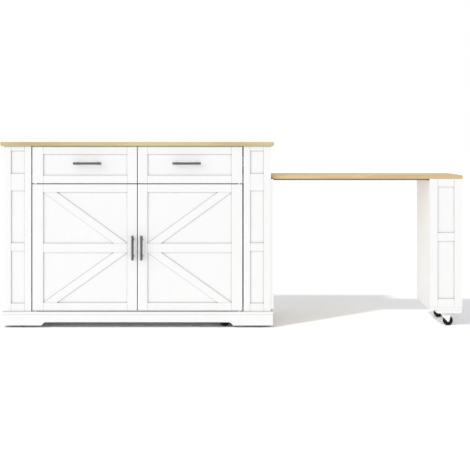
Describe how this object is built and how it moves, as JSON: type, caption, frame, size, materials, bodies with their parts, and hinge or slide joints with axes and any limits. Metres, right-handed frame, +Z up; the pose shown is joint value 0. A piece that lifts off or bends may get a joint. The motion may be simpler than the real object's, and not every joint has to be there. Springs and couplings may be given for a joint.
{
  "type": "kitchen island with slide-out table",
  "caption": "White panelled kitchen island on casters, with cross-braced doors, drawers, a wooden worktop and a table that slides out of one side onto a wheeled pedestal.",
  "frame": {"origin": "on the floor, at the middle of the island's outline with the table out", "axes": "+X along the island towards the table, +Y from the face to the back, +Z up"},
  "size_m": [2.3, 0.547, 0.92],
  "materials": {
    "painted_wood": "satin white paint on board",
    "worktop_wood": "clear satin lacquer on edge-glued wood",
    "table_wood": "clear satin lacquer on edge-glued wood",
    "runner_wood": "oiled hardwood",
    "drawer_wood": "plain birch board",
    "zinc": "bright zinc plate",
    "handle_metal": "dark satin coating",
    "catch_plastic": "moulded",
    "wheel_rubber": "black, matte"
  },
  "bodies": {
    "cabinet": {"worktop": "worktop_wood", "left_side_panel": "painted_wood", "right_side_panel": "painted_wood", "partitions": "painted_wood", "bottom_deck": "painted_wood", "mid_deck": "painted_wood", "drawer_divider": "painted_wood", "compartment_divider": "painted_wood", "shelves": "painted_wood", "shelf_pins": "zinc", "back_panel": "painted_wood", "pilaster_frames": "painted_wood", "pilaster_panels": "painted_wood", "front_rail": "painted_wood", "plinth_boards": "painted_wood", "plinth_cap": "painted_wood", "caster_bearers": "painted_wood", "caster_plates": "zinc", "drawer_slide_outers": "zinc", "table_channels": "zinc", "pivot_brackets": "zinc", "magnetic_catch": "catch_plastic", "end_panel": "painted_wood"},
    "drawer_left": {"drawer_left_front": "painted_wood", "drawer_left_box": "drawer_wood", "drawer_left_handle": "handle_metal", "drawer_left_inner_slides": "zinc"},
    "drawer_left_middle": {"drawer_left_middle_slides": "zinc"},
    "door_left": {"door_left_frame": "painted_wood", "door_left_panels": "painted_wood", "door_left_handle": "handle_metal"},
    "drawer_right": {"drawer_right_front": "painted_wood", "drawer_right_box": "drawer_wood", "drawer_right_handle": "handle_metal", "drawer_right_inner_slides": "zinc"},
    "drawer_right_middle": {"drawer_right_middle_slides": "zinc"},
    "door_right": {"door_right_frame": "painted_wood", "door_right_panels": "painted_wood", "door_right_handle": "handle_metal"},
    "table": {"table_top": "table_wood", "table_runners": "runner_wood", "pedestal_sides": "painted_wood", "pedestal_frames": "painted_wood", "pedestal_panels": "painted_wood", "pedestal_base": "painted_wood", "pedestal_caster_plates": "zinc"},
    "fork_front_left": {"fork_front_left": "zinc"},
    "wheel_front_left": {"wheel_front_left": "wheel_rubber"},
    "fork_front_right": {"fork_front_right": "zinc"},
    "wheel_front_right": {"wheel_front_right": "wheel_rubber"},
    "fork_back_left": {"fork_back_left": "zinc"},
    "wheel_back_left": {"wheel_back_left": "wheel_rubber"},
    "fork_back_right": {"fork_back_right": "zinc"},
    "wheel_back_right": {"wheel_back_right": "wheel_rubber"},
    "fork_table_front": {"fork_table_front": "zinc"},
    "wheel_table_front": {"wheel_table_front": "wheel_rubber"},
    "fork_table_back": {"fork_table_back": "zinc"},
    "wheel_table_back": {"wheel_table_back": "wheel_rubber"}
  },
  "joints": [
    {"name": "drawer_left_slide", "type": "slide", "parent": "cabinet", "child": "drawer_left", "axis": [0, -1, 0], "range_m": [0, 0.36]},
    {"name": "drawer_left_middle_slide", "type": "slide", "parent": "cabinet", "child": "drawer_left_middle", "axis": [0, -1, 0], "range_m": [0, 0.18]},
    {"name": "door_left_hinge", "type": "hinge", "parent": "cabinet", "child": "door_left", "pos_m": [-0.978, -0.2325, 0.397], "axis": [0, 0, -1], "range_deg": [0, 110]},
    {"name": "drawer_right_slide", "type": "slide", "parent": "cabinet", "child": "drawer_right", "axis": [0, -1, 0], "range_m": [0, 0.36]},
    {"name": "drawer_right_middle_slide", "type": "slide", "parent": "cabinet", "child": "drawer_right_middle", "axis": [0, -1, 0], "range_m": [0, 0.18]},
    {"name": "door_right_hinge", "type": "hinge", "parent": "cabinet", "child": "door_right", "pos_m": [0.034, -0.2325, 0.397], "axis": [0, 0, 1], "range_deg": [0, 110]},
    {"name": "table_slide", "type": "slide", "parent": "cabinet", "child": "table", "axis": [-1, 0, 0], "range_m": [0, 0.776]},
    {"name": "swivel_front_left", "type": "hinge", "parent": "cabinet", "child": "fork_front_left", "pos_m": [-1.039, -0.1915, 0.058], "axis": [0, 0, 1], "continuous": true},
    {"name": "roll_front_left", "type": "hinge", "parent": "fork_front_left", "child": "wheel_front_left", "pos_m": [-1.054, -0.1915, 0.025], "axis": [0, 1, 0], "continuous": true},
    {"name": "swivel_front_right", "type": "hinge", "parent": "cabinet", "child": "fork_front_right", "pos_m": [-0.024, -0.1915, 0.058], "axis": [0, 0, 1], "continuous": true},
    {"name": "roll_front_right", "type": "hinge", "parent": "fork_front_right", "child": "wheel_front_right", "pos_m": [-0.039, -0.1915, 0.025], "axis": [0, 1, 0], "continuous": true},
    {"name": "swivel_back_left", "type": "hinge", "parent": "cabinet", "child": "fork_back_left", "pos_m": [-1.039, 0.2085, 0.058], "axis": [0, 0, 1], "continuous": true},
    {"name": "roll_back_left", "type": "hinge", "parent": "fork_back_left", "child": "wheel_back_left", "pos_m": [-1.054, 0.2085, 0.025], "axis": [0, 1, 0], "continuous": true},
    {"name": "swivel_back_right", "type": "hinge", "parent": "cabinet", "child": "fork_back_right", "pos_m": [-0.024, 0.2085, 0.058], "axis": [0, 0, 1], "continuous": true},
    {"name": "roll_back_right", "type": "hinge", "parent": "fork_back_right", "child": "wheel_back_right", "pos_m": [-0.039, 0.2085, 0.025], "axis": [0, 1, 0], "continuous": true},
    {"name": "swivel_table_front", "type": "hinge", "parent": "table", "child": "fork_table_front", "pos_m": [1.0665, -0.1655, 0.058], "axis": [0, 0, 1], "continuous": true},
    {"name": "roll_table_front", "type": "hinge", "parent": "fork_table_front", "child": "wheel_table_front", "pos_m": [1.0815, -0.1655, 0.025], "axis": [0, 1, 0], "continuous": true},
    {"name": "swivel_table_back", "type": "hinge", "parent": "table", "child": "fork_table_back", "pos_m": [1.0665, 0.1105, 0.058], "axis": [0, 0, 1], "continuous": true},
    {"name": "roll_table_back", "type": "hinge", "parent": "fork_table_back", "child": "wheel_table_back", "pos_m": [1.0815, 0.1105, 0.025], "axis": [0, 1, 0], "continuous": true}
  ],
  "couplings": [
    {"joint": "drawer_left_middle_slide", "follows": "drawer_left_slide", "ratio": 0.5},
    {"joint": "drawer_right_middle_slide", "follows": "drawer_right_slide", "ratio": 0.5}
  ]
}
